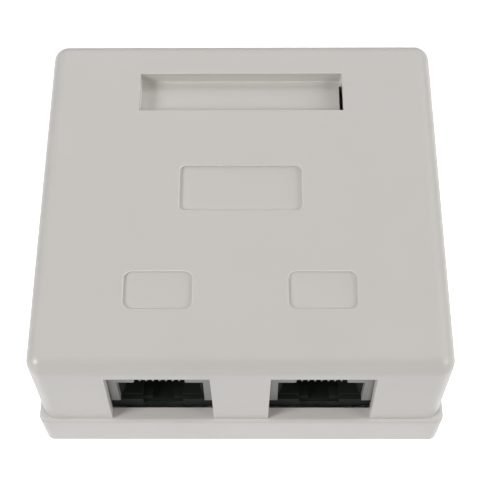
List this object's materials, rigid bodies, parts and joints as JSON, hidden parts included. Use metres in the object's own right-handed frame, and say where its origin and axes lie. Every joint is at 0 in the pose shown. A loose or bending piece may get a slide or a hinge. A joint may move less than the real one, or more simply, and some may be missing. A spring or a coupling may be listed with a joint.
{
  "type": "surface mount jack box",
  "caption": "Low rectangular wall box with open modular jack ports in its front, a label recess in its lift-off cover, and a circuit board with punch-down terminal blocks inside.",
  "frame": {"origin": "centre of the flat back face that goes against the wall", "axes": "+Z out of the wall through the cover, +X along the longer side, -Y the way the ports face"},
  "size_m": [0.0652, 0.0612, 0.0292],
  "materials": {
    "white_plastic": "fine satin moulding",
    "grey_plastic": "satin moulding",
    "black_plastic": "satin moulding",
    "terminal_plastic": "satin moulding",
    "green_board": "glossy solder mask",
    "gold_contact": "plated spring wire",
    "tin_blade": "bright tin plate",
    "screw_steel": "zinc plate"
  },
  "bodies": {
    "tray": {"base": "white_plastic", "circuit_board": "green_board", "board_screws": "screw_steel", "left_jack_housing": "grey_plastic", "left_jack_insert": "black_plastic", "left_jack_contacts": "gold_contact", "left_front_idc_block": "terminal_plastic", "left_front_idc_blades": "tin_blade", "left_rear_idc_block": "terminal_plastic", "left_rear_idc_blades": "tin_blade", "right_jack_housing": "grey_plastic", "right_jack_insert": "black_plastic", "right_jack_contacts": "gold_contact", "right_front_idc_block": "terminal_plastic", "right_front_idc_blades": "tin_blade", "right_rear_idc_block": "terminal_plastic", "right_rear_idc_blades": "tin_blade"},
    "hood": {"cover": "white_plastic"}
  },
  "joints": [
    {"name": "cover_lift", "type": "slide", "parent": "tray", "child": "hood", "axis": [0, 0, 1], "range_m": [0, 0.03]}
  ]
}
